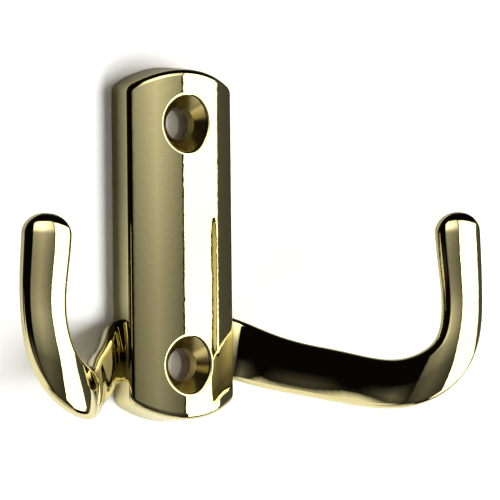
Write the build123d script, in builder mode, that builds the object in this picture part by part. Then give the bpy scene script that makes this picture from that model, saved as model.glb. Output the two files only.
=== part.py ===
# Coat hook: one casting with a polished brass finish.
# A crowned back plate with two countersunk screw holes carries two arms, mirror images of
# each other, that sweep out and forward and turn up into round-ended prongs.
# Millimetres. X is to the right, the front faces -Y, Z is up. The origin lies on the wall
# plane, midway between the two screw holes.
import math
import os

from build123d import *

# Screw holes, for 4 mm countersunk screws
hole_pitch = 32.0
hole_d = 4.5
sink_d = 7.8            # countersink diameter on the front, before its lip is rounded
sink_angle = 82.0
lip_r = 0.6

# Back plate
plate_w = 17.2          # width on the wall
hole_to_end = 7.65      # from each hole to the top of its arched end
plate_t = 5.3           # thickness in the middle
end_r = 15.0            # radius of the arched ends
corner_r = 1.7          # corners between the long sides and the arched ends
draft = 5.0             # draft of the side wall, degrees
crown = 1.8             # fall of the front face from the middle to the long sides
edge_r = 0.9            # rounding all round the front face

# Hollow back
rim_w = 2.0             # rim left standing on the wall
hollow_t = 1.9          # depth of the hollow

# Arm path, right arm: out from the plate's side, forward of the wall, up from the origin
root_z = -12.8          # start of the path
root_in = 3.6           # buried this deep in the plate
root_step = 0.3         # flat of the side wall left bare in front of and behind the root
side_out = 0.9          # short stub out of the side wall
side_drop = 1.4
shoulder_out = 4.4      # where the arm turns forward
shoulder_forward = 4.9
shoulder_z = -15.8
sweep_sag = 0.7         # how far the run from shoulder to heel hangs below a straight line
heel_z = -18.6          # lowest point
heel_back = 2.1         # from the heel forward to the prong
heel_in = 7.1           # from the heel out to the prong
bend_in = 2.1           # the turn up into the prong
bend_rise = 3.3
prong_out = 24.5
prong_forward = 21.4
prong_z = -7.3          # where the prong stands upright
tip_lean = 0.6          # the prong leans back in over the arm
tip_z = 4.0             # top of the prong
tip_dome = 2.7          # height of its rounded end

# Arm section, nearly flat in front and fuller behind: height and thickness at places along the path
root_h = 8.2
fore_h = 7.0
fore_t = 2.9
heel_h = 6.6
waist_h = 6.4
waist_t = 3.0
tip_h = 7.05
tip_t = 3.4
edge_share = 0.44       # radius of the narrow edges over the thickness
face_rise = 0.1         # the front face stands this far proud of its edges
joint_r = 0.3           # hollow corner where an arm leaves the plate
arm_steps = 28
dome_steps = 4
dome_end = 84.0         # the rounded end stops at a small flat this far round, degrees

# Plate outline
plate_h = hole_pitch + 2 * hole_to_end
half_w = plate_w / 2
half_h = plate_h / 2
arch_z = half_h - end_r + math.sqrt(end_r**2 - half_w**2)

# Front of the plate in cross-section: one arc from side to side
side_t = plate_t - crown
side_x = half_w - side_t * math.tan(math.radians(draft))
crown_r = (side_x**2 + crown**2) / (2 * crown)
side_swing = math.asin(side_x / crown_r)

# Countersink, cut by a cone; cutters reach past the stock
past = 1.0
sink_slope = math.tan(math.radians(sink_angle / 2))
sink_t = (sink_d - hole_d) / 2 / sink_slope
sink_y = (sink_t - past) / 2 - plate_t

# Root of the arm, in the middle of the flat that the edge rounding leaves of the side wall
side_flat = side_t - edge_r * math.tan(math.radians(90 - draft) / 2 - side_swing / 2)
root_t = side_flat - 2 * root_step
root_forward = side_flat / 2 + root_t / 2 - root_t * edge_share - face_rise


def at(out, forward, up):
    return Vector(half_w + out, -forward, up)


def along(stops, share):
    for (start, first), (end, last) in zip(stops, stops[1:]):
        if share <= end:
            k = (share - start) / (end - start)
            return first + (last - first) * k * k * (3 - 2 * k)


def section(share):
    height = along(((0, root_h), (0.3, fore_h), (0.55, heel_h), (0.8, waist_h), (1, tip_h)), share)
    thickness = along(((0, root_t), (0.3, fore_t), (0.8, waist_t), (1, tip_t)), share)
    return height, thickness


def section_plane(origin, tangent, share):
    # The broad face stands square to the path on the run, and turns to face forward on the prong
    turned = along(((0, 0), (0.42, 0), (0.72, 1), (1, 1)), share)
    run_face = Vector(tangent.Y, -tangent.X, 0)
    face = run_face * (1 - turned) + Vector(0, -1, 0) * turned
    thin = (face - tangent * face.dot(tangent)).normalized()
    return Plane(origin=origin, x_dir=thin.cross(tangent), z_dir=tangent)


def face_corner(half_h, r, rise):
    # Where a face arc that rises this far above the line of the edges' centres meets an edge arc
    face_r = ((half_h - r) ** 2 + rise**2 - r**2) / (2 * (rise - r))
    return (half_h - r) * (1 + r / (face_r - r)), r * (face_r - rise) / (face_r - r)


def oval(height, thickness, shrink=1):
    # Four arcs by the ends and middles of each; shrinking keeps the middle of the thickness in place
    b = height / 2
    r = thickness * edge_share
    front = r + face_rise
    back = thickness - front
    mid = (front - back) / 2
    x, y = face_corner(b, r, front)
    u, v = face_corner(b, r, back)
    points = ((-x, y), (0, front), (x, y), (b, 0), (u, -v), (0, -back), (-u, -v), (-b, 0), (-x, y))
    return [(p * shrink, mid + (q - mid) * shrink) for p, q in points]


with BuildPart() as plate:
    # Blank, drawn in towards the front by its draft
    with BuildSketch(Plane.XZ) as outline:
        with BuildLine():
            ThreePointArc((-half_w, arch_z), (0, half_h), (half_w, arch_z))
            Line((half_w, arch_z), (half_w, -arch_z))
            ThreePointArc((half_w, -arch_z), (0, -half_h), (-half_w, -arch_z))
            Line((-half_w, -arch_z), (-half_w, arch_z))
        make_face()
        fillet(outline.vertices(), corner_r)
    extrude(amount=plate_t + past, taper=draft)
    # Crown, the same all the way up the plate
    with BuildSketch(Plane.XY.offset(-plate_h)):
        with BuildLine():
            right_x = half_w + past
            right_y = crown_r - plate_t - math.sqrt(crown_r**2 - right_x**2)
            ThreePointArc((-right_x, right_y), (0, -plate_t), (right_x, right_y))
            Polyline((right_x, right_y), (right_x, plate_t), (-right_x, plate_t), (-right_x, right_y))
        make_face()
    extrude(amount=2 * plate_h, mode=Mode.INTERSECT)
    # Rounding round the front face
    fillet(plate.edges().filter_by(lambda e: max(v.Y for v in e.vertices()) < -hollow_t), edge_r)

# Right arm, lofted along its path and closed by a domed end
root = at(-root_in, root_forward, root_z)
side = at(side_out, root_forward + root_step, root_z - side_drop)
shoulder = at(shoulder_out, shoulder_forward, shoulder_z)
heel = at(prong_out - heel_in, prong_forward - heel_back, heel_z)
sweep = (shoulder + heel) / 2 - Vector(0, 0, sweep_sag)
bend = at(prong_out - bend_in, prong_forward, heel_z + bend_rise)
upright = at(prong_out, prong_forward, prong_z)
tip = at(prong_out - tip_lean, prong_forward, tip_z - tip_dome)

root_way = Vector(root_in + side_out, 0, -side_drop).normalized()
tip_way = Vector(-tip_lean, 0, tip_z - prong_z).normalized()

with BuildLine() as path:
    Spline(root, side, shoulder, sweep, heel, bend, upright, tip,
           tangents=(root_way, tip_way), tangent_scalars=(1, 1))

stations = []
for step in range(arm_steps + 1):
    share = step / arm_steps
    plane = section_plane(path.line @ share, path.line % share, share)
    stations.append((plane, oval(*section(share))))
for step in range(1, dome_steps + 1):
    swing = math.radians(dome_end) * step / dome_steps
    plane = stations[arm_steps][0].offset(tip_dome * math.sin(swing))
    stations.append((plane, oval(tip_h, tip_t, math.cos(swing))))

with BuildPart() as arm:
    for plane, points in stations:
        with BuildSketch(plane):
            with BuildLine():
                for first in range(0, 8, 2):
                    ThreePointArc(*points[first:first + 3])
            make_face()
    loft()

with BuildPart() as hook:
    add(plate.part)
    split(bisect_by=Plane.YZ)
    add(arm.part)
    fillet(hook.edges(Select.NEW), joint_r)
    mirror(about=Plane.YZ)
    # Hollow behind the plate, inside the rim
    with BuildSketch(Plane.XZ):
        add(outline.sketch_local)
        offset(amount=-rim_w, kind=Kind.INTERSECTION, mode=Mode.REPLACE)
    extrude(amount=hollow_t, mode=Mode.SUBTRACT)
    # Screw holes, countersunk, with a rounded lip
    with Locations((0, 0, hole_pitch / 2), (0, 0, -hole_pitch / 2)):
        Cylinder(hole_d / 2, 2 * plate_t, rotation=(90, 0, 0), mode=Mode.SUBTRACT)
    with Locations((0, sink_y, hole_pitch / 2), (0, sink_y, -hole_pitch / 2)):
        Cone(hole_d / 2, sink_d / 2 + past * sink_slope, sink_t + past,
             rotation=(90, 0, 0), mode=Mode.SUBTRACT)
    fillet(hook.edges(Select.NEW).filter_by(lambda e: e.center().Y < sink_t / 2 - plate_t), lip_r)

hook.part.label = "coat_hook"
os.makedirs("parts", exist_ok=True)
export_step(hook.part, "parts/coat_hook.step")
print("volume", round(hook.part.volume, 1), "solids", len(hook.part.solids()))
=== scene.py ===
"""A polished brass coat hook on a pale wall: one casting, its finishes, and the studio round it."""

import math

import bpy
import numpy as np
from mathutils import Matrix, Vector
from mathutils.geometry import delaunay_2d_cdt


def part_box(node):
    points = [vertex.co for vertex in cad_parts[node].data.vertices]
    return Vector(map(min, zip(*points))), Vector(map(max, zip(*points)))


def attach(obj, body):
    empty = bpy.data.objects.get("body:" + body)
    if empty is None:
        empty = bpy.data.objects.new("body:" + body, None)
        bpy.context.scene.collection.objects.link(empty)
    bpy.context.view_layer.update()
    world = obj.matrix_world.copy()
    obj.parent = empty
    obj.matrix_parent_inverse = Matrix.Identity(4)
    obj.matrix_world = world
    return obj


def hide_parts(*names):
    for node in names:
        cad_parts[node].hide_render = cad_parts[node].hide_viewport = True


bl_info = {
    "name": "Polished Brass Coat Hook",
    "version": (1, 0, 0),
    "blender": (4, 5, 0),
    "location": "View3D > Sidebar > Coat Hook",
    "description": "Builds a cast coat hook, its polished finish and a small studio",
    "category": "Object",
}

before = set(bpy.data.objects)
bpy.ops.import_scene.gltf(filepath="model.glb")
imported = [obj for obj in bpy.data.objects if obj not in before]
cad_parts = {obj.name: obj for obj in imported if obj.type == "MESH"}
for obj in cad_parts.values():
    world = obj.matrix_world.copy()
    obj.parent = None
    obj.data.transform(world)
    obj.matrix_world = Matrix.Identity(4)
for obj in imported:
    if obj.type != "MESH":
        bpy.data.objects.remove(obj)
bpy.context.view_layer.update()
HOOK_LOW, HOOK_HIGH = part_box("coat_hook")

MM = 0.001

# Finishes of the casting, in the order of its materials
POLISHED = 0
CAST = 1
TURNED = 2

# Fineness of the mesh
WELD_GRID = 0.0002 * MM     # points nearer than this become one
SETTLE_ROUNDS = 60          # rounds that settle where a rolling ball touches two faces
EDGE_STEPS = 10             # across the rounding of the front edge
WALL_STEPS = 8              # up the side wall
LIP_STEPS = 8               # across a countersink's lip
CONE_STEPS = 6              # down a countersink's cone
BORE_STEPS = 4              # down a straight hole
HOLE_COLUMNS = 128          # round a hole
BROAD_COLUMNS = 30          # across a broad face of an arm
NARROW_COLUMNS = 20         # round a narrow edge of an arm
JOINT_STEPS = 8             # across the hollow corner of an arm
NEAR_ROWS = 21              # from the hollow corner to the first square section
FAR_ROWS = 149              # from there to the foot of the dome
DOME_ROWS = 24              # over the dome
PATH_POINTS = 4001          # along an arm's path, to measure its length


# Kinds of property, with defaults in millimetres, degrees and hex colours


def length_prop(name, description, mm):
    return bpy.props.FloatProperty(
        name=name, description=description, default=mm * MM, unit="LENGTH", precision=5)


def place_prop(name, description, x, y, z):
    return bpy.props.FloatVectorProperty(
        name=name, description=description, default=(x * MM, y * MM, z * MM),
        subtype="TRANSLATION", precision=5)


def angle_prop(name, description, degrees):
    return bpy.props.FloatProperty(
        name=name, description=description, default=math.radians(degrees), subtype="ANGLE")


def colour_prop(name, description, code):
    return bpy.props.StringProperty(name=name, description=description, default=code)


class PlateSizes(bpy.types.PropertyGroup):
    """Sizes of the back plate and its screw holes."""

    width: length_prop("Width", "Width of the plate on the wall", 17.2)
    height: bpy.props.FloatProperty(
        name="Height", description="Height of the plate",
        default=HOOK_HIGH.z - HOOK_LOW.z, unit="LENGTH", precision=5)
    thickness: length_prop("Thickness", "Thickness in the middle of the plate", 5.3)
    end_radius: length_prop("End Radius", "Radius of the arched ends", 15)
    corner_radius: length_prop("Corner Radius", "Radius between the long sides and the arched ends", 1.7)
    draft: angle_prop("Draft", "Draft of the side wall", 5)
    crown: length_prop("Crown", "Fall of the front from the middle to the long sides", 1.8)
    edge_radius: length_prop("Edge Radius", "Rounding all round the front", 0.9)
    rim: length_prop("Rim", "Width of the rim that stands on the wall", 2)
    hollow: length_prop("Hollow", "Depth of the hollow back", 1.9)
    hole_pitch: length_prop("Hole Pitch", "Distance between the screw holes", 32)
    hole: length_prop("Hole", "Diameter of the screw holes", 4.5)
    sink: length_prop("Countersink", "Diameter of the countersinks before the lip is rounded", 7.8)
    sink_angle: angle_prop("Countersink Angle", "Full angle of the countersinks", 82)
    lip: length_prop("Lip", "Rounding of the countersinks' lips", 0.6)


class ArmSizes(bpy.types.PropertyGroup):
    """Path and section of the right arm; the left arm mirrors it."""

    root: place_prop("Root", "Start of the path, buried in the plate", 5.0, -1.53, -12.8)
    side: place_prop("Side", "Where the path has left the side wall", 9.5, -1.83, -14.2)
    shoulder: place_prop("Shoulder", "Where the arm turns forward", 13.0, -4.9, -15.8)
    sweep: place_prop("Sweep", "Middle of the run", 19.5, -12.1, -17.9)
    heel: place_prop("Heel", "Lowest point of the path", 26.0, -19.3, -18.6)
    bend: place_prop("Bend", "The turn up into the prong", 31.0, -21.4, -15.3)
    upright: place_prop("Upright", "Where the prong stands upright", 33.1, -21.4, -7.3)
    tip: place_prop("Tip", "Foot of the rounded end", 32.5, -21.4, 1.3)
    dome: length_prop("Dome", "Height of the rounded end", 2.7)
    root_height: length_prop("Root Height", "Height of the section at the root", 8.2)
    fore_height: length_prop("Run Height", "Height of the section on the run", 7.0)
    heel_height: length_prop("Heel Height", "Height of the section at the heel", 6.6)
    waist_height: length_prop("Waist Height", "Height of the section low on the prong", 6.4)
    tip_height: length_prop("Tip Height", "Height of the section under the rounded end", 7.05)
    root_thickness: length_prop("Root Thickness", "Thickness of the section at the root", 2.375)
    fore_thickness: length_prop("Run Thickness", "Thickness of the section on the run", 2.9)
    waist_thickness: length_prop("Waist Thickness", "Thickness of the section low on the prong", 3.0)
    tip_thickness: length_prop("Tip Thickness", "Thickness of the section under the rounded end", 3.4)
    edge_share: bpy.props.FloatProperty(
        name="Edge Share", description="Radius of the section's narrow edges over its thickness",
        default=0.37, min=0.1, max=0.44)
    front_share: bpy.props.FloatProperty(
        name="Front Share", description="How much of the thickness lies in front of the edges",
        default=0.44, min=0.1, max=0.49)
    front_rise: length_prop("Front Rise", "How much further forward the front face stands", 0.1)
    joint_radius: length_prop("Joint Radius", "Hollow corner where the arm leaves the plate", 0.3)


class FinishLooks(bpy.types.PropertyGroup):
    """Colours and polish of the casting."""

    brass: colour_prop("Brass", "Colour of the polished brass", "#F7ECB6")
    brass_deep: colour_prop("Deeper Brass", "Colour where the lacquer lies thicker", "#F3E5A8")
    cast: colour_prop("Cast Back", "Colour of the unpolished back", "#C9B27A")
    turned: colour_prop("Countersinks", "Colour of the turned countersinks", "#E8D48C")
    polish: bpy.props.FloatProperty(
        name="Polish", description="Roughness of the polished faces",
        default=0.024, min=0.0, max=1.0, subtype="FACTOR")
    turned_polish: bpy.props.FloatProperty(
        name="Turned Polish", description="Roughness of the turned countersinks",
        default=0.22, min=0.0, max=1.0, subtype="FACTOR")


class StudioLooks(bpy.types.PropertyGroup):
    """The wall, the lamps and the camera."""

    wall: colour_prop("Wall", "Colour of the wall", "#FAFAF8")
    overexposure: bpy.props.FloatProperty(
        name="Overexposure",
        description="How much brighter than its paint the camera sees the wall",
        default=1.6, min=1.0)
    # Colour of the painted reflections: a glowing shell that only the metal mirrors
    cards: colour_prop("Cards", "Colour of the lit cards that the metal mirrors", "#FFFDF4")
    card_distance: length_prop("Card Distance", "From the middle of the plate to the cards", 300)
    key_power: bpy.props.FloatProperty(
        name="Key Power", description="Power of the key lamp", default=96.0, unit="POWER")
    key_distance: length_prop("Key Distance", "From the wall behind the plate to the key lamp", 2400)
    snoot: colour_prop("Snoots", "Colour of the small lamps on the screw holes", "#FFF9ED")
    snoot_power: bpy.props.FloatProperty(
        name="Snoot Power", description="Power of each small lamp on a screw hole",
        default=0.06, unit="POWER")
    ambient: bpy.props.FloatProperty(
        name="Ambient", description="Light from all round", default=0.1, min=0.0)
    camera_turn: angle_prop("Camera Turn", "How far left of the plate the camera stands", 34)
    camera_distance: length_prop("Camera Distance", "From the camera to the middle of the plate", 545)
    camera_drop: length_prop("Camera Drop", "How far below the middle of the plate the camera stands", 2.19)
    aim_right: length_prop("Aim Right", "How far right of the plate's middle the picture is centred", 11.11)
    aim_drop: length_prop("Aim Drop", "How far below the plate's middle the picture is centred", 0.83)
    camera_roll: angle_prop("Camera Roll", "Tilt of the camera about its view", 0.58)
    lens: bpy.props.FloatProperty(
        name="Lens", description="Focal length of the camera", default=293.8, unit="CAMERA")


# Shells: patches of points, normals and faces that are welded into one mesh


def unit(vectors):
    return vectors / np.linalg.norm(vectors, axis=-1, keepdims=True)


def patch(points, normals, faces, finish=POLISHED):
    """Points, their normals, faces and a finish; normals that many points share are repeated."""
    points = np.asarray(points, float)
    normals = np.broadcast_to(np.asarray(normals, float), points.shape)
    return points.reshape(-1, 3), unit(normals.reshape(-1, 3)), faces, finish


def ring_patch(points, normals, finish=POLISHED):
    """Quads over rows of points that run once round, each row's last point joined to its first."""
    rows, columns = points.shape[:2]
    faces = []
    for i in range(rows - 1):
        low = i * columns
        high = low + columns
        for j in range(columns):
            k = (j + 1) % columns
            faces.append((low + j, low + k, high + k, high + j))
    return patch(points, normals, faces, finish)


def inside(points, loop):
    """Which flat points lie inside a closed loop."""
    x, y = points[:, 0:1], points[:, 1:2]
    ax, ay = loop[:, 0], loop[:, 1]
    bx, by = np.roll(ax, -1), np.roll(ay, -1)
    crosses = (ay > y) != (by > y)
    rise = np.where(by == ay, 1.0, by - ay)
    left = x < (bx - ax) * (y - ay) / rise + ax
    return (crosses & left).sum(1) % 2 == 1


def fill_flat(outer, holes, spacing):
    """Triangles over a flat outline with holes: the loops' points in order, then a regular grid."""
    loops = [outer, *holes]
    edges = []
    start = 0
    for loop in loops:
        count = len(loop)
        edges += [(start + i, start + (i + 1) % count) for i in range(count)]
        start += count
    rim = np.concatenate(loops)
    low, high = outer.min(0), outer.max(0)
    across = np.arange(math.ceil(low[0] / spacing), high[0] / spacing) * spacing
    up = np.arange(math.ceil(low[1] / spacing), high[1] / spacing) * spacing
    grid = np.stack(np.meshgrid(across, up), -1).reshape(-1, 2)
    keep = inside(grid, outer)
    for hole in holes:
        keep &= ~inside(grid, hole)
    grid = grid[keep]
    # Grid points close to a loop would make slivers
    close = 0.55 * spacing
    if len(grid):
        gap = np.sqrt(((grid[:, None] - rim[None]) ** 2).sum(-1)).min(1)
        grid = grid[gap > close]
    points = np.concatenate([rim, grid])
    scaled = [Vector(p / spacing) for p in points]
    inside_edges = 1
    tolerance = 1e-6
    made, _, faces, origins, _, _ = delaunay_2d_cdt(scaled, edges, [], inside_edges, tolerance)
    if len(made) != len(points):
        raise RuntimeError("the flat fill changed its points")
    back = [origin[0] for origin in origins]
    faces = [tuple(back[i] for i in face) for face in faces]
    middles = np.array([points[list(face)].mean(0) for face in faces])
    keep = inside(middles, outer)
    for hole in holes:
        keep &= ~inside(middles, hole)
    return points, [face for face, kept in zip(faces, keep) if kept]


def stand(flat, y=0.0):
    """Flat points stood upright at a depth y."""
    return np.stack([flat[:, 0], np.broadcast_to(y, len(flat)), flat[:, 1]], -1)


def mirrored(part):
    points, normals, faces, finish = part
    flip = np.array([-1.0, 1.0, 1.0])
    return points * flip, normals * flip, faces, finish


def weld(name, patches, materials):
    """One mesh from all patches, joined where they meet, with each patch's own normals."""
    places = {}
    points = []
    faces = []
    corners = []
    finishes = []
    for part_points, part_normals, part_faces, finish in patches:
        index = []
        for p in part_points:
            key = tuple(np.round(p / WELD_GRID).astype(int))
            if key not in places:
                places[key] = len(points)
                points.append(p)
            index.append(places[key])
        for face in part_faces:
            a, b, c = (part_points[face[i]] for i in (0, 1, -1))
            if np.cross(b - a, c - a) @ part_normals[list(face)].sum(0) < 0:
                face = face[::-1]
            ring = [index[i] for i in face]
            if len(set(ring)) < len(ring):
                kept = [i for i in range(len(ring)) if ring[i] != ring[i - 1]]
                face = [face[i] for i in kept]
                ring = [ring[i] for i in kept]
            if len(ring) < 3:
                continue
            faces.append(ring)
            corners += [part_normals[i] for i in face]
            finishes.append(finish)
    mesh = bpy.data.meshes.new(name)
    mesh.from_pydata(points, [], faces)
    mesh.polygons.foreach_set("use_smooth", [True] * len(faces))
    mesh.polygons.foreach_set("material_index", finishes)
    for material in materials:
        mesh.materials.append(material)
    mesh.normals_split_custom_set(corners)
    mesh.update()
    piece = bpy.data.objects.new(name, mesh)
    bpy.context.scene.collection.objects.link(piece)
    return piece


def arc_rows(centre, radius, first, last, steps):
    """Rows of points on a ball's track, turning from the first directions to the last."""
    swing = np.arccos(np.clip((first * last).sum(-1), -1, 1))[:, None]
    rows = []
    for share in np.linspace(0, 1, steps + 1):
        way = (np.sin((1 - share) * swing) * first + np.sin(share * swing) * last) / np.sin(swing)
        rows.append(unit(way))
    ways = np.stack(rows)
    return centre + radius * ways, ways


# The plate


class PlateForm:
    """The plate's surfaces, worked out from its sizes."""

    def __init__(self, sizes):
        self.sizes = sizes
        self.half_width = sizes.width / 2
        self.half_height = sizes.height / 2
        self.arch_z = self.half_height - sizes.end_radius
        self.slope = math.tan(sizes.draft)
        # Crown: one arc from side to side
        side_x = self.half_width - (sizes.thickness - sizes.crown) * self.slope
        self.crown_radius = (side_x**2 + sizes.crown**2) / (2 * sizes.crown)

    def crown_swing(self, x, inset=0.0):
        """Angle of the crown's normal at x, on the crown or on its parallel this far inside."""
        return np.arcsin(np.clip(x / (self.crown_radius - inset), -1, 1))

    def crown_y(self, x, inset=0.0):
        fall = (self.crown_radius - inset) * np.cos(self.crown_swing(x, inset))
        return self.crown_radius - self.sizes.thickness - fall

    def crown_normal(self, x, inset=0.0):
        swing = self.crown_swing(x, inset)
        return np.stack([np.sin(swing), -np.cos(swing), np.zeros_like(swing)], -1)

    def outline(self, spacing):
        """Points and facing angles round the plate's foot, and the stretch of each long side."""
        corner = self.sizes.corner_radius
        end = self.sizes.end_radius
        side_z = self.arch_z + math.sqrt((end - corner) ** 2 - (self.half_width - corner) ** 2)
        turn = math.atan2(side_z - self.arch_z, self.half_width - corner)
        fewest = 10
        finer = 3
        corner_steps = max(fewest, round(corner * turn / spacing * finer))
        arch_steps = round(end * (math.pi / 2 - turn) / spacing)
        quarter = []
        for angle in np.linspace(0, turn, corner_steps, endpoint=False):
            quarter.append((self.half_width - corner + corner * math.cos(angle),
                            side_z + corner * math.sin(angle), angle))
        for angle in np.linspace(turn, math.pi / 2, arch_steps, endpoint=False):
            quarter.append((end * math.cos(angle), self.arch_z + end * math.sin(angle), angle))
        top = [*quarter, (0.0, self.half_height, math.pi / 2)]
        top += [(-x, z, math.pi - angle) for x, z, angle in reversed(quarter)]
        bottom = [(-x, -z, angle + math.pi) for x, z, angle in top]
        count = round(2 * side_z / spacing)
        falls = np.linspace(side_z, -side_z, count + 1)[1:-1]
        left = [(-self.half_width, z, math.pi) for z in falls]
        right = [(self.half_width, -z, 0.0) for z in falls]
        ring = np.array([*top, *left, *bottom, *right])
        first_left = len(top) - 1
        first_right = 2 * len(top) + len(left) - 1
        return ring, ((first_left, count), (first_right, count))

    def hollow_loop(self):
        """Outline of the hollow back, inside the rim."""
        x = self.half_width - self.sizes.rim
        radius = self.sizes.end_radius - self.sizes.rim
        turn = math.acos(x / radius)
        arch_points = 40
        side_points = 60
        arch = [(radius * math.cos(a), self.arch_z + radius * math.sin(a))
                for a in np.linspace(turn, math.pi - turn, arch_points)]
        falls = np.linspace(arch[-1][1], -arch[-1][1], side_points)[1:-1]
        left = [(-x, z) for z in falls]
        under = [(-a, -b) for a, b in arch]
        right = [(x, -z) for z in falls]
        return np.array([*arch, *left, *under, *right])

    def wall_normal(self, angle):
        angle = np.asarray(angle, float)
        draft = self.sizes.draft
        lean = np.full_like(angle, -math.sin(draft))
        level = math.cos(draft)
        return np.stack([np.cos(angle) * level, lean, np.sin(angle) * level], -1)

    def edge_balls(self, ring):
        """Centres of a ball that rolls inside the front edge, touching the side wall and the crown."""
        radius = self.sizes.edge_radius
        draft = self.sizes.draft
        x, z, angle = ring.T
        reach = radius * math.cos(draft)
        depth = np.full_like(x, self.sizes.thickness)
        for _ in range(SETTLE_ROUNDS):
            centre_x = x - np.cos(angle) * (depth * self.slope + reach)
            depth = radius * math.sin(draft) - self.crown_y(centre_x, radius)
        pull = depth * self.slope + reach
        return np.stack([x - np.cos(angle) * pull, radius * math.sin(draft) - depth,
                         z - np.sin(angle) * pull], -1)

    def lip_balls(self, hole_z, angle):
        """Centres of a ball that rolls inside a countersink's lip, and how deep the cone ends."""
        sizes = self.sizes
        half = sizes.sink_angle / 2
        slope = math.tan(half)
        floor = sizes.thickness - (sizes.sink - sizes.hole) / 2 / slope
        reach = sizes.lip * math.cos(half)
        depth = np.full_like(angle, sizes.thickness)
        for _ in range(SETTLE_ROUNDS):
            out = sizes.hole / 2 + (depth - floor) * slope + reach
            depth = sizes.lip * math.sin(half) - self.crown_y(out * np.cos(angle), sizes.lip)
        out = sizes.hole / 2 + (depth - floor) * slope + reach
        return np.stack([out * np.cos(angle), sizes.lip * math.sin(half) - depth,
                         hole_z + out * np.sin(angle)], -1), floor


# The arm


def clamped_spline(points, first_way, last_way):
    """Knots and slopes of a smooth curve through the points, by the distances between them."""
    gaps = np.linalg.norm(np.diff(points, axis=0), axis=1)
    knots = np.concatenate([[0.0], np.cumsum(gaps)])
    count = len(points)
    matrix = np.zeros((count, count))
    right = np.zeros((count, 3))
    matrix[0, 0] = matrix[-1, -1] = 1.0
    right[0] = first_way
    right[-1] = last_way
    for i in range(1, count - 1):
        before, after = gaps[i - 1], gaps[i]
        matrix[i, i - 1:i + 2] = after, 2 * (before + after), before
        right[i] = 3 * (after / before * (points[i] - points[i - 1])
                        + before / after * (points[i + 1] - points[i]))
    return knots, np.linalg.solve(matrix, right)


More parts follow.
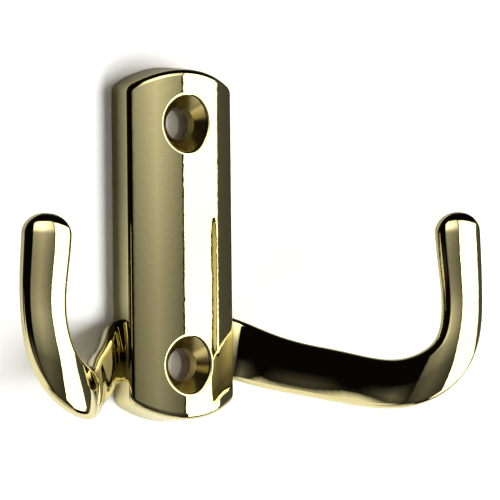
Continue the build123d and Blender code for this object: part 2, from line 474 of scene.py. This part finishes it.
class ArmForm:
    """The right arm's surface, a flat oval carried along a smooth path to a domed end."""

    STOPS = ("root", "side", "shoulder", "sweep", "heel", "bend", "upright", "tip")
    # Shares of the path's length at which the section's sizes are given
    RUN = 0.3
    HEEL = 0.55
    WAIST = 0.8
    # Shares between which the broad face turns to face forward
    TURN_START = 0.42
    TURN_END = 0.72

    def __init__(self, sizes):
        self.sizes = sizes
        self.points = np.array([list(getattr(sizes, name)) for name in self.STOPS])
        first = self.points[1] - self.points[0]
        last = self.points[-1] - self.points[-2]
        first[1] = last[1] = 0.0
        # The prong's lean is set by its top, which stands above the foot of the dome
        last[2] += sizes.dome
        self.knots, self.slopes = clamped_spline(self.points, unit(first), unit(last))
        self.fine = np.linspace(0, self.knots[-1], PATH_POINTS)
        steps = np.diff(self.path(self.fine)[0], axis=0)
        lengths = np.concatenate([[0.0], np.cumsum(np.linalg.norm(steps, axis=1))])
        self.shares = lengths / lengths[-1]

    def path(self, at):
        """Points and unit tangents of the path."""
        i = np.clip(np.searchsorted(self.knots, at, "right") - 1, 0, len(self.knots) - 2)
        gap = (self.knots[i + 1] - self.knots[i])[..., None]
        k = (at - self.knots[i])[..., None] / gap
        p, q = self.points[i], self.points[i + 1]
        m, n = self.slopes[i] * gap, self.slopes[i + 1] * gap
        place = (p * (2 * k**3 - 3 * k**2 + 1) + q * (3 * k**2 - 2 * k**3)
                 + m * (k**3 - 2 * k**2 + k) + n * (k**3 - k**2))
        way = (p - q) * (6 * k**2 - 6 * k) + m * (3 * k**2 - 4 * k + 1) + n * (3 * k**2 - 2 * k)
        return place, unit(way)

    @staticmethod
    def along(stops, share):
        """Eased value between stops of (share, value)."""
        value = np.full_like(share, stops[-1][1])
        for (start, first), (end, last) in reversed(list(zip(stops, stops[1:]))):
            k = np.clip((share - start) / (end - start), 0, 1)
            value = np.where(share <= end, first + (last - first) * k * k * (3 - 2 * k), value)
        return value

    def section(self, share):
        """Height and thickness of the oval."""
        sizes = self.sizes
        heights = ((0, sizes.root_height), (self.RUN, sizes.fore_height),
                   (self.HEEL, sizes.heel_height), (self.WAIST, sizes.waist_height),
                   (1, sizes.tip_height))
        thicknesses = ((0, sizes.root_thickness), (self.RUN, sizes.fore_thickness),
                       (self.WAIST, sizes.waist_thickness), (1, sizes.tip_thickness))
        return self.along(heights, share), self.along(thicknesses, share)

    def oval(self, share, edge, turn):
        """Places on the oval, across and through it, and the middle of its thickness."""
        height, thickness = self.section(share)
        # Arcs in order: front face, upper edge, back face, lower edge
        r = thickness * self.sizes.edge_share
        front = thickness * self.sizes.front_share + self.sizes.front_rise
        back = thickness - front
        reach = height / 2 - r
        front_r = (reach**2 + front**2 - r**2) / (2 * (front - r))
        back_r = (reach**2 + back**2 - r**2) / (2 * (back - r))
        front_swing = np.arctan2(reach, front_r - front)
        back_swing = np.arctan2(reach, back_r - back)
        rise = np.where(edge == 0, front, back)
        face_r = np.where(edge == 0, front_r, back_r)
        angle = turn * np.where(edge == 0, front_swing, back_swing)
        square = math.pi / 2
        edge_first = np.where(edge == 1, square - front_swing, square - back_swing)
        edge_last = np.where(edge == 1, back_swing - square, front_swing - square)
        edge_angle = edge_first + (edge_last - edge_first) * (turn + 1) / 2
        broad = edge % 2 == 0
        side = np.where(edge < 2, 1.0, -1.0)
        x = np.where(broad, face_r * np.sin(angle), reach + r * np.cos(edge_angle)) * side
        y = np.where(broad, rise - face_r + face_r * np.cos(angle), r * np.sin(edge_angle)) * side
        return x, y, (front - back) / 2

    def surface(self, share, edge, turn):
        """Points of the arm: edge picks one of the oval's four arcs and turn, from -1 to 1, the
        place on it. The share of the length runs from 0 to 1 on the path and on to 2 on the dome."""
        on_path = np.clip(share, 0, 1)
        dome = np.clip(share - 1, 0, 1) * math.pi / 2
        place, way = self.path(np.interp(on_path, self.shares, self.fine))
        turns = ((0, 0), (self.TURN_START, 0), (self.TURN_END, 1), (1, 1))
        turned = self.along(turns, on_path)[..., None]
        run_face = np.stack([way[..., 1], -way[..., 0], np.zeros_like(way[..., 0])], -1)
        face = run_face * (1 - turned) + np.array([0.0, -1.0, 0.0]) * turned
        thin = unit(face - way * (face * way).sum(-1, keepdims=True))
        tall = np.cross(thin, way)
        # The dome's sections shrink towards the middle of the thickness
        x, y, middle = self.oval(on_path, edge, turn)
        x = x * np.cos(dome)
        y = middle + (y - middle) * np.cos(dome)
        lift = (self.sizes.dome * np.sin(dome))[..., None] * way
        return place + lift + tall * x[..., None] + thin * y[..., None]

    def normals(self, share, edge, turn):
        step = 1e-4
        low, high = np.clip(share - step, 0, 2), np.clip(share + step, 0, 2)
        ahead = self.surface(high, edge, turn) - self.surface(low, edge, turn)
        left, right = np.clip(turn - step, -1, 1), np.clip(turn + step, -1, 1)
        round_it = self.surface(share, edge, right) - self.surface(share, edge, left)
        return unit(np.cross(round_it, ahead))


def arm_columns():
    """Which arc each column of the arm lies on, and where on it, once round the oval."""
    edge, turn = [], []
    arcs = (BROAD_COLUMNS, NARROW_COLUMNS, BROAD_COLUMNS, NARROW_COLUMNS)
    for arc, steps in enumerate(arcs):
        edge += [arc] * steps
        turn += list(np.linspace(-1, 1, steps, endpoint=False))
    return np.array(edge), np.array(turn)


# Materials


def linear(code):
    """sRGB hex to linear colour."""
    values = [int(code[i:i + 2], 16) / 255 for i in (1, 3, 5)]
    return [v / 12.92 if v <= 0.04045 else ((v + 0.055) / 1.055) ** 2.4 for v in values] + [1.0]


def add_node(tree, kind, inputs=None, **settings):
    """Adds a node, sets it up, and fills or links its inputs. A node stands for its first output."""
    node = tree.nodes.new(kind)
    for name, value in settings.items():
        setattr(node, name, value)
    for key, value in (inputs or {}).items():
        if isinstance(value, bpy.types.Node):
            value = value.outputs[0]
        if isinstance(value, bpy.types.NodeSocket):
            tree.links.new(value, node.inputs[key])
        else:
            node.inputs[key].default_value = value
    return node


def new_material(name):
    material = bpy.data.materials.new(name)
    material.use_nodes = True
    material.node_tree.nodes.clear()
    return material, material.node_tree


def polished_brass(looks):
    """Cast brass, ground and buffed on a wheel, then lacquered: a clear warm mirror, with the faint
    ripple that buffing leaves in reflected edges and a slightly deeper colour where lacquer gathers."""
    material, tree = new_material("lacquered_polished_brass")
    place = add_node(tree, "ShaderNodeTexCoord").outputs["Object"]
    ripple_mm = 0.8
    ripple_depth_mm = 0.005
    haze_mm = 9.0
    haze_dulls = 1.6
    ripple = add_node(tree, "ShaderNodeTexNoise", {
        "Vector": place, "Scale": 1 / (ripple_mm * MM), "Detail": 1.5, "Roughness": 0.4})
    bump = add_node(tree, "ShaderNodeBump", {
        "Height": ripple.outputs["Fac"], "Strength": 1.0, "Distance": ripple_depth_mm * MM})
    haze = add_node(tree, "ShaderNodeTexNoise", {
        "Vector": place, "Scale": 1 / (haze_mm * MM), "Detail": 3.0, "Roughness": 0.55})
    tone = add_node(tree, "ShaderNodeMix", {
        "Factor": haze.outputs["Fac"], "A": linear(looks.brass), "B": linear(looks.brass_deep)},
        data_type="RGBA")
    gloss = add_node(tree, "ShaderNodeMapRange", {
        "Value": haze.outputs["Fac"], "From Min": 0.3, "From Max": 0.7,
        "To Min": looks.polish, "To Max": looks.polish * haze_dulls})
    shader = add_node(tree, "ShaderNodeBsdfPrincipled", {
        "Base Color": tone.outputs["Result"], "Metallic": 1.0, "Roughness": gloss, "Normal": bump})
    add_node(tree, "ShaderNodeOutputMaterial", {"Surface": shader})
    return material


def turned_brass(looks, hole_z):
    """Brass as the countersink cutter left it, under the same lacquer: a softer, deeper mirror with
    rings round each hole. Real rings are finer, and these are as coarse as they need to show."""
    material, tree = new_material("turned_brass")
    place = add_node(tree, "ShaderNodeTexCoord").outputs["Object"]
    ring_mm = 0.22
    ring_depth_mm = 0.0008
    parts = add_node(tree, "ShaderNodeSeparateXYZ", {0: place}).outputs
    tall = add_node(tree, "ShaderNodeMath", {0: parts["Z"]}, operation="ABSOLUTE")
    above = add_node(tree, "ShaderNodeMath", {0: tall, 1: hole_z}, operation="SUBTRACT")
    spoke = add_node(tree, "ShaderNodeCombineXYZ", {"X": parts["X"], "Y": above})
    out = add_node(tree, "ShaderNodeVectorMath", {0: spoke}, operation="LENGTH").outputs["Value"]
    phase = add_node(tree, "ShaderNodeMath", {0: out, 1: 2 * math.pi / (ring_mm * MM)},
                     operation="MULTIPLY")
    rings = add_node(tree, "ShaderNodeMath", {0: phase}, operation="SINE")
    bump = add_node(tree, "ShaderNodeBump", {
        "Height": rings, "Strength": 1.0, "Distance": ring_depth_mm * MM})
    shader = add_node(tree, "ShaderNodeBsdfPrincipled", {
        "Base Color": linear(looks.turned), "Metallic": 1.0, "Roughness": looks.turned_polish,
        "Normal": bump})
    add_node(tree, "ShaderNodeOutputMaterial", {"Surface": shader})
    return material


def cast_brass(looks):
    """Brass as it left the die, tumbled but not buffed: a dull satin with a grain. A real grain is
    finer, and this one is as coarse as it needs to show."""
    material, tree = new_material("tumbled_cast_brass")
    place = add_node(tree, "ShaderNodeTexCoord").outputs["Object"]
    grain_mm = 0.35
    grain_depth_mm = 0.03
    grain = add_node(tree, "ShaderNodeTexNoise", {
        "Vector": place, "Scale": 1 / (grain_mm * MM), "Detail": 4.0, "Roughness": 0.6})
    bump = add_node(tree, "ShaderNodeBump", {
        "Height": grain.outputs["Fac"], "Strength": 1.0, "Distance": grain_depth_mm * MM})
    dull = add_node(tree, "ShaderNodeMapRange", {
        "Value": grain.outputs["Fac"], "From Min": 0.3, "From Max": 0.7,
        "To Min": 0.34, "To Max": 0.52})
    shader = add_node(tree, "ShaderNodeBsdfPrincipled", {
        "Base Color": linear(looks.cast), "Metallic": 1.0, "Roughness": dull, "Normal": bump})
    add_node(tree, "ShaderNodeOutputMaterial", {"Surface": shader})
    return material


# Operators


class COATHOOK_OT_casting(bpy.types.Operator):
    """Build the coat hook: back plate, screw holes and both arms in one piece"""

    bl_idname = "coat_hook.casting"
    bl_label = "Coat Hook Casting"

    spacing: length_prop("Spacing", "Distance between the points of the mesh", 0.36)

    def execute(self, context):
        scene = context.scene
        looks = scene.hook_finish
        plate = PlateForm(scene.hook_plate)
        patches = self.patches(plate, ArmForm(scene.hook_arm))
        materials = [polished_brass(looks), cast_brass(looks),
                     turned_brass(looks, plate.sizes.hole_pitch / 2)]
        piece = weld("coat_hook_casting", patches, materials)
        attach(piece, "root")
        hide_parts("coat_hook")
        return {"FINISHED"}

    def patches(self, plate, arm):
        """All the patches of the casting, which meet along loops of points that they share."""
        ring, sides = plate.outline(self.spacing)
        foot = stand(ring)
        edge, brow, front_edge = self.edge_patch(plate, ring)
        sinks, lips, mouths = self.countersink_patches(plate)
        arms, seat = self.arm_patches(plate, arm)
        return [edge, *sinks, self.front_patch(plate, front_edge, lips),
                *arms, *[mirrored(part) for part in arms],
                *self.wall_patches(plate, ring, sides, foot, brow, seat),
                *self.back_patches(plate, foot, mouths)]

    def edge_patch(self, plate, ring):
        """The rounding of the front edge, and the loops where it leaves the wall and the crown."""
        radius = plate.sizes.edge_radius
        balls = plate.edge_balls(ring)
        wall = plate.wall_normal(ring[:, 2])
        crown = plate.crown_normal(balls[:, 0], radius)
        rows, ways = arc_rows(balls, radius, wall, crown, EDGE_STEPS)
        return ring_patch(rows, ways), rows[0], rows[-1]

    def countersink_patches(self, plate):
        """Lip, cone and straight hole of each countersink, and the loops at both its ends."""
        sizes = plate.sizes
        half = sizes.sink_angle / 2
        turn = np.linspace(0, 2 * math.pi, HOLE_COLUMNS, endpoint=False)
        spoke = np.stack([np.cos(turn), np.zeros_like(turn), np.sin(turn)], -1)
        cone = -spoke * math.cos(half) + np.array([0, -math.sin(half), 0])
        patches, lips, mouths = [], [], []
        for hole_z in (sizes.hole_pitch / 2, -sizes.hole_pitch / 2):
            centres, floor = plate.lip_balls(hole_z, turn)
            crown = plate.crown_normal(centres[:, 0], sizes.lip)
            lip, lip_ways = arc_rows(centres, sizes.lip, crown, cone, LIP_STEPS)
            patches.append(ring_patch(lip, lip_ways))
            bore = np.array([0, 0, hole_z]) + spoke * sizes.hole / 2
            throat = bore + np.array([0, -floor, 0])
            mouth = bore + np.array([0, -sizes.hollow, 0])
            for start, end, way, steps in ((lip[-1], throat, cone, CONE_STEPS),
                                           (throat, mouth, -spoke, BORE_STEPS)):
                rows = start + (end - start) * np.linspace(0, 1, steps + 1)[:, None, None]
                patches.append(ring_patch(rows, way, TURNED))
            lips.append(lip[0])
            mouths.append(mouth)
        return patches, lips, mouths

    def front_patch(self, plate, front_edge, lips):
        """The crown between the edge rounding and the lips."""
        holes = [lip[:, [0, 2]] for lip in lips]
        flat, faces = fill_flat(front_edge[:, [0, 2]], holes, self.spacing)
        points = stand(flat, plate.crown_y(flat[:, 0]))
        loops = np.concatenate([front_edge, *lips])
        points[:len(loops)] = loops
        return patch(points, plate.crown_normal(flat[:, 0]), faces)

    def wall_patches(self, plate, ring, sides, foot, brow, seat):
        """The side wall: the long sides filled round the arms' roots, and rows round the ends."""
        draft = plate.sizes.draft
        rows = foot + (brow - foot) * np.linspace(0, 1, WALL_STEPS + 1)[:, None, None]
        flatten = np.array([1, 1 / math.cos(draft)])
        filled = np.zeros(len(ring), bool)
        patches = []
        for (first, count), hand in zip(sides, (-1, 1)):
            picks = (first + np.arange(count + 1)) % len(ring)
            filled[picks[:-1]] = True
            loop = np.concatenate([foot[picks], rows[1:-1, picks[-1]], brow[picks][::-1],
                                   rows[1:-1, picks[0]][::-1]])
            mouth = seat * np.array([hand, 1, 1])
            flat, faces = fill_flat(loop[:, [2, 1]] * flatten, [mouth[:, [2, 1]] * flatten],
                                    self.spacing)
            z, y = (flat / flatten).T
            points = np.stack([hand * (plate.half_width + y * plate.slope), y, z], -1)
            known = np.concatenate([loop, mouth])
            points[:len(known)] = known
            facing = np.array([hand * math.cos(draft), -math.sin(draft), 0.0])
            patches.append(patch(points, facing, faces))
        points, normals, faces, _ = ring_patch(rows, plate.wall_normal(ring[:, 2]))
        faces = [face for face in faces if not filled[face[0] % len(ring)]]
        return [*patches, patch(points, normals, faces)]

    def back_patches(self, plate, foot, mouths):
        """The hollow back, left as cast: rim, wall and roof."""
        coarse = self.spacing * 2
        depth = plate.sizes.hollow
        backward = np.array([0.0, 1.0, 0.0])
        inner = plate.hollow_loop()
        count = len(inner)
        inner_foot = stand(inner)
        inner_roof = stand(inner, -depth)
        flat, faces = fill_flat(foot[:, [0, 2]], [inner], coarse)
        patches = [patch(stand(flat), backward, faces, CAST)]
        for i in range(count):
            j = (i + 1) % count
            a, b = inner[i], inner[j]
            facing = np.array([b[1] - a[1], 0, a[0] - b[0]])
            if facing[0] * (a[0] + b[0]) + facing[2] * (a[1] + b[1]) > 0:
                facing = -facing
            quad = [inner_foot[i], inner_foot[j], inner_roof[j], inner_roof[i]]
            patches.append(patch(quad, facing, [(0, 1, 2, 3)], CAST))
        flat, faces = fill_flat(inner, [mouth[:, [0, 2]] for mouth in mouths], coarse)
        points = stand(flat, -depth)
        loops = np.concatenate([inner_roof, *mouths])
        points[:len(loops)] = loops
        return [*patches, patch(points, backward, faces, CAST)]

    def arm_start(self, plate, arm, edge, turn, wall):
        """Where, on each column, a ball that touches the side wall also touches the arm."""
        radius = arm.sizes.joint_radius
        corner = np.array([plate.half_width, 0.0, 0.0])
        first, last, tries = 0.005, 0.2, 400
        shares = np.linspace(first, last, tries)[:, None] * np.ones(len(edge))
        skin = arm.surface(shares, edge, turn) + radius * arm.normals(shares, edge, turn)
        gap = (skin - corner) @ wall - radius
        start = np.empty(len(edge))
        for j in range(len(edge)):
            k = np.nonzero((gap[:-1, j] < 0) & (gap[1:, j] >= 0))[0][-1]
            step = shares[k + 1, j] - shares[k, j]
            start[j] = shares[k, j] - gap[k, j] * step / (gap[k + 1, j] - gap[k, j])
        return start

    def arm_patches(self, plate, arm):
        """The right arm from its hollow corner to its tip, and the loop where it meets the wall."""
        radius = arm.sizes.joint_radius
        edge, turn = arm_columns()
        count = len(edge)
        wall = plate.wall_normal(np.zeros(1))[0]
        start = self.arm_start(plate, arm, edge, turn, wall)
        ways = arm.normals(start, edge, turn)
        centres = arm.surface(start, edge, turn) + radius * ways
        corner, corner_ways = arc_rows(centres, radius, np.broadcast_to(-wall, ways.shape), -ways,
                                       JOINT_STEPS)
        # Rows close up from the slanted start to square sections, then run on over the dome
        joined = 0.16
        near = np.linspace(0, 1, NEAR_ROWS, endpoint=False)[:, None] * (joined - start) + start
        far = np.concatenate([np.linspace(joined, 1, FAR_ROWS, endpoint=False),
                              1 + np.linspace(0, 1, DOME_ROWS, endpoint=False)])
        shares = np.concatenate([near, far[:, None] * np.ones(count)])
        points = arm.surface(shares, edge, turn)
        normals = arm.normals(shares, edge, turn)
        points[0] = corner[-1]
        top = arm.surface(np.array([2.0]), np.array([0]), np.array([0.0]))
        up = arm.path(np.array([arm.knots[-1]]))[1]
        fan = [(j, (j + 1) % count, count) for j in range(count)]
        cap = patch(np.concatenate([points[-1], top]), np.concatenate([normals[-1], up]), fan)
        return [ring_patch(corner, -corner_ways), ring_patch(points, normals), cap], corner[0]


class COATHOOK_OT_studio(bpy.types.Operator):
    """Set up the wall, the lamps, the painted reflections of a studio and the camera"""

    bl_idname = "coat_hook.studio"
    bl_label = "Coat Hook Studio"

    def execute(self, context):
        scene = context.scene
        looks = scene.hook_studio
        self.wall(looks)
        self.cards(looks)
        self.lamps(looks, scene.hook_plate.hole_pitch / 2)
        self.world(scene, looks)
        self.camera(scene, looks)
        scene.view_settings.view_transform = "Standard"
        return {"FINISHED"}

    def sheet(self, name, points, faces, material):
        mesh = bpy.data.meshes.new(name)
        mesh.from_pydata(points, [], faces)
        mesh.materials.append(material)
        piece = bpy.data.objects.new(name, mesh)
        bpy.context.scene.collection.objects.link(piece)
        return piece

    def wall_paint_with_painted_shade(self, looks):
        """White matt paint that shows from the front only, so that the hook's back can be seen. The camera
        sees it overexposed. In the metal it carries painted shade: the colour that reflections see is
        painted darker high up, and dark there at a glancing angle."""
        material, tree = new_material("white_painted_wall")
        path = add_node(tree, "ShaderNodeLightPath").outputs
        place = add_node(tree, "ShaderNodeTexCoord").outputs["Object"]
        parts = add_node(tree, "ShaderNodeSeparateXYZ", {0: place}).outputs
        # Painted shade for reflections: the mirrored wall's level falls from bright low down to darker high
        # up
        high = add_node(tree, "ShaderNodeMapRange", {
            "Value": parts["Z"], "From Min": -36 * MM, "From Max": 8 * MM,
            "To Min": 1.25, "To Max": 0.48})
        # Low down, the mirrored wall keeps its painted light at any angle
        low = add_node(tree, "ShaderNodeMapRange", {
            "Value": parts["Z"], "From Min": -34 * MM, "From Max": -22 * MM,
            "To Min": 1.0, "To Max": 0.0})
        # Painted shade for reflections: the mirrored wall goes dark at a glancing angle
        facing = add_node(tree, "ShaderNodeLayerWeight", {"Blend": 0.5}).outputs["Facing"]
        square = add_node(tree, "ShaderNodeMapRange", {
            "Value": facing, "From Min": 0.5, "From Max": 0.66, "To Min": 1.0, "To Max": 0.02},
            interpolation_type="SMOOTHSTEP")
        # The mirrored wall keeps its light low down or seen square on, and level is its painted shade
        lit = add_node(tree, "ShaderNodeMath", {0: low, 1: square}, operation="MAXIMUM")
        level = add_node(tree, "ShaderNodeMath", {0: high, 1: lit}, operation="MULTIPLY")
        white = linear(looks.wall)
        bright = [v * looks.overexposure for v in white[:3]] + [1.0]
        # Black to white by that level: the painted shade that glossy rays see
        painted_shade_tone = add_node(tree, "ShaderNodeMix", {
            "Factor": level, "A": linear("#000000"), "B": white}, data_type="RGBA")
        # Glossy rays see the paint with its painted shade, other rays the plain paint
        tone_with_painted_shade = add_node(tree, "ShaderNodeMix", {
            "Factor": path["Is Glossy Ray"], "A": white, "B": painted_shade_tone.outputs["Result"]},
            data_type="RGBA")
        tone = add_node(tree, "ShaderNodeMix", {
            "Factor": path["Is Camera Ray"], "A": tone_with_painted_shade.outputs["Result"], "B": bright},
            data_type="RGBA")
        paint = add_node(tree, "ShaderNodeBsdfDiffuse", {"Color": tone.outputs["Result"]})
        # A plate that is seen from behind the wall is mirrored without the wall too
        covered_mm = 8.5
        passed = add_node(tree, "ShaderNodeMath", {0: path["Transparent Depth"], 1: 0.5},
                          operation="GREATER_THAN")
        side = add_node(tree, "ShaderNodeMath", {0: parts["X"]}, operation="ABSOLUTE")
        covered = add_node(tree, "ShaderNodeMath", {0: side, 1: covered_mm * MM},
                           operation="LESS_THAN")
        hollow = add_node(tree, "ShaderNodeMath", {0: passed, 1: covered}, operation="MULTIPLY")
        behind = add_node(tree, "ShaderNodeNewGeometry").outputs["Backfacing"]
        gone = add_node(tree, "ShaderNodeMath", {0: behind, 1: hollow}, operation="MAXIMUM")
        clear = add_node(tree, "ShaderNodeBsdfTransparent")
        shader = add_node(tree, "ShaderNodeMixShader", {"Fac": gone, 1: paint, 2: clear})
        add_node(tree, "ShaderNodeOutputMaterial", {"Surface": shader})
        return material

    def wall(self, looks):
        """The wall behind the hook, and a floor in the same paint well below it."""
        material = self.wall_paint_with_painted_shade(looks)
        y = 0.05 * MM
        reach = 620 * MM
        self.sheet("wall", [(-reach, y, -reach), (reach, y, -reach), (reach, y, reach),
                            (-reach, y, reach)], [(0, 1, 2, 3)], material)
        side = 600 * MM
        front = -250 * MM
        z = -450 * MM
        self.sheet("floor", [(-side, front, z), (side, front, z), (side, 0, z), (-side, 0, z)],
                   [(0, 1, 2, 3)], material)

    def painted_reflection_light(self, looks):
        """Painted reflections: the light of the cards, which only the metal's reflections see, given by how
        far across and how high each point lies, in degrees.
        """
        material, tree = new_material("studio_cards")
        place = add_node(tree, "ShaderNodeTexCoord").outputs["Object"]
        way = add_node(tree, "ShaderNodeVectorMath", {0: place}, operation="NORMALIZE")
        parts = add_node(tree, "ShaderNodeSeparateXYZ", {0: way}).outputs
        front = add_node(tree, "ShaderNodeMath", {0: parts["Y"], 1: -1.0}, operation="MULTIPLY")
        across = add_node(tree, "ShaderNodeMath", {0: parts["X"]}, operation="ARCSINE")
        rise = add_node(tree, "ShaderNodeMath", {0: parts["Z"], 1: front}, operation="ARCTAN2")

        def band(angle, stops):
            """Brightness that runs between stops of (degrees, level)."""
            total = stops[0][1]
            for (start, low), (end, high) in zip(stops, stops[1:]):
                step = add_node(tree, "ShaderNodeMapRange", {
                    "Value": angle, "From Min": math.radians(start), "From Max": math.radians(end),
                    "To Min": 0.0, "To Max": high - low})
                total = add_node(tree, "ShaderNodeMath", {0: step, 1: total}, operation="ADD")
            return total

        # Each painted reflection's levels across and up are multiplied
        # Painted reflections of a card, a softbox, a low fill light and a glowing floor
        card = ([(-15.4, 0.0), (-11.9, 0.53), (-9.5, 0.6), (6, 1.0), (27.6, 0.4), (28.2, 0.0)],
                [(-62, 0.03), (-14, 0.12), (-1.4, 0.36), (6.6, 0.66), (13, 1.4), (22, 2.2),
                 (44, 2.2), (48, 0.0)])
        softbox = ([(29.2, 0.0), (29.8, 2.5), (62.8, 2.5), (64.0, 0.0)],
                   [(-66, 0.0), (-64, 1.0), (40, 1.0), (44, 0.0)])
        painted_low_fill = ([(-62, 0.0), (-38, 1.0), (-12, 0.0)], [(-62, 0.0), (-36, 0.12), (-12, 0.0)])
        painted_floor_reflection = ([(-26, 1.0), (-14, 0.0)], [(-64, 0.9), (-48, 0.0)])
        painted_fringe = [(60, 0.002), (65, 0.075), (84, 0.055)]
        glow = band(across, painted_fringe)
        for sideways, upward in (card, softbox, painted_low_fill, painted_floor_reflection):
            glow = add_node(tree, "ShaderNodeMath", {
                0: band(across, sideways), 1: band(rise, upward), 2: glow},
                operation="MULTIPLY_ADD")
        emission = add_node(tree, "ShaderNodeEmission", {
            "Color": linear(looks.cards), "Strength": glow})
        add_node(tree, "ShaderNodeOutputMaterial", {"Surface": emission})
        return material

    def cards(self, looks):
        """Painted reflections: cards and a softbox that only reflections see, as a glowing shell round the
        front of the hook that is no lamp and lights no paint.
        """
        radius = looks.card_distance
        steps = 24
        points = []
        for el in np.radians(np.linspace(-66, 90, steps + 1)):
            for az in np.radians(np.linspace(-90, 90, steps + 1)):
                points.append((radius * math.cos(el) * math.sin(az),
                               -radius * math.cos(el) * math.cos(az), radius * math.sin(el)))
        starts = [i * (steps + 1) + j for i in range(steps) for j in range(steps)]
        faces = [(a, a + 1, a + steps + 2, a + steps + 1) for a in starts]
        piece = self.sheet("studio_cards", points, faces, self.painted_reflection_light(looks))
        # The shell shows to glossy rays only: a painted reflection, not a lamp
        piece.visible_camera = False
        piece.visible_diffuse = False
        piece.visible_transmission = False
        piece.visible_volume_scatter = False
        piece.visible_shadow = False

    def lamp(self, name, kind, place, aim):
        """A lamp out of sight of the camera and the reflections."""
        light = bpy.data.lights.new(name, kind)
        piece = bpy.data.objects.new(name, light)
        bpy.context.scene.collection.objects.link(piece)
        piece.location = place
        piece.rotation_euler = (aim - place).to_track_quat("-Z", "Y").to_euler()
        piece.visible_glossy = False
        piece.visible_camera = False
        return light

    def lamps(self, looks, hole_z):
        """A broad key lamp from the right, and two small ones on the wall behind the screw holes."""
        key_turn = math.radians(38)
        key_drop = 800 * MM
        place = Vector((math.sin(key_turn), -math.cos(key_turn), 0.0)) * looks.key_distance
        place.z = -key_drop
        key = self.lamp("key_lamp", "AREA", place, Vector((0, 0, 0)))
        key.shape = "RECTANGLE"
        key.size = 1480 * MM
        key.size_y = 3200 * MM
        key.energy = looks.key_power
        snoot_turn = math.radians(2)
        snoot_distance = 80 * MM
        off = Vector((math.sin(snoot_turn), -math.cos(snoot_turn), 0.0)) * snoot_distance
        for name, z in (("upper", hole_z), ("lower", -hole_z)):
            hole = Vector((0.0, 0.0, z))
            snoot = self.lamp(name + "_snoot", "SPOT", hole + off, hole)
            snoot.energy = looks.snoot_power
            snoot.spot_size = math.radians(4)
            snoot.spot_blend = 1.0
            snoot.color = linear(looks.snoot)[:3]
            snoot.shadow_soft_size = 3 * MM

    def world(self, scene, looks):
        """White where it is seen or mirrored, and a plain soft light where it falls on paint."""
        world = bpy.data.worlds.new("studio")
        scene.world = world
        world.use_nodes = True
        tree = world.node_tree
        tree.nodes.clear()
        path = add_node(tree, "ShaderNodeLightPath").outputs
        seen = path["Is Camera Ray"]
        for ray in ("Is Glossy Ray", "Is Transmission Ray"):
            seen = add_node(tree, "ShaderNodeMath", {0: seen, 1: path[ray]}, operation="MAXIMUM")
        level = add_node(tree, "ShaderNodeMapRange", {
            "Value": seen, "To Min": looks.ambient, "To Max": 1.0})
        shade = add_node(tree, "ShaderNodeBackground", {
            "Color": linear("#FFFFFF"), "Strength": level})
        add_node(tree, "ShaderNodeOutputWorld", {"Surface": shade})

    def camera(self, scene, looks):
        """The photograph's viewpoint, framed for a square picture."""
        data = bpy.data.cameras.new("camera")
        data.lens = looks.lens
        data.sensor_width = 36
        data.clip_start = 0.01
        data.clip_end = 10
        piece = bpy.data.objects.new("camera", data)
        scene.collection.objects.link(piece)
        turn = looks.camera_turn
        stand = Vector((-math.sin(turn), -math.cos(turn), 0)) * looks.camera_distance
        stand.z = -looks.camera_drop
        piece.location = stand
        aim = Vector((math.cos(turn), -math.sin(turn), 0)) * looks.aim_right
        aim.z = -looks.aim_drop
        forward = (aim - stand).normalized()
        right = forward.cross(Vector((0, 0, 1))).normalized()
        up = right.cross(forward)
        look = Matrix((right, up, -forward)).transposed()
        roll = Matrix.Rotation(-looks.camera_roll, 3, "Z")
        piece.rotation_euler = (look @ roll).to_euler()
        scene.camera = piece


class COATHOOK_PT_panel(bpy.types.Panel):
    """Sizes, looks and steps of the coat hook"""

    bl_idname = "COATHOOK_PT_panel"
    bl_label = "Coat Hook"
    bl_space_type = "VIEW_3D"
    bl_region_type = "UI"
    bl_category = "Coat Hook"

    def draw(self, context):
        layout = self.layout
        scene = context.scene
        for group in (scene.hook_plate, scene.hook_arm, scene.hook_finish, scene.hook_studio):
            box = layout.box()
            for name in group.bl_rna.properties.keys():
                if name not in {"rna_type", "name"}:
                    box.prop(group, name)
        layout.operator(COATHOOK_OT_casting.bl_idname)
        layout.operator(COATHOOK_OT_studio.bl_idname)


GROUPS = {
    "hook_plate": PlateSizes,
    "hook_arm": ArmSizes,
    "hook_finish": FinishLooks,
    "hook_studio": StudioLooks,
}
CLASSES = (*GROUPS.values(), COATHOOK_OT_casting, COATHOOK_OT_studio, COATHOOK_PT_panel)


def register():
    for cls in CLASSES:
        bpy.utils.register_class(cls)
    for name, group in GROUPS.items():
        setattr(bpy.types.Scene, name, bpy.props.PointerProperty(type=group))


def unregister():
    for name in GROUPS:
        delattr(bpy.types.Scene, name)
    for cls in reversed(CLASSES):
        bpy.utils.unregister_class(cls)


def main():
    register()
    bpy.ops.coat_hook.casting()
    bpy.ops.coat_hook.studio()


if __name__ == "__main__":
    main()
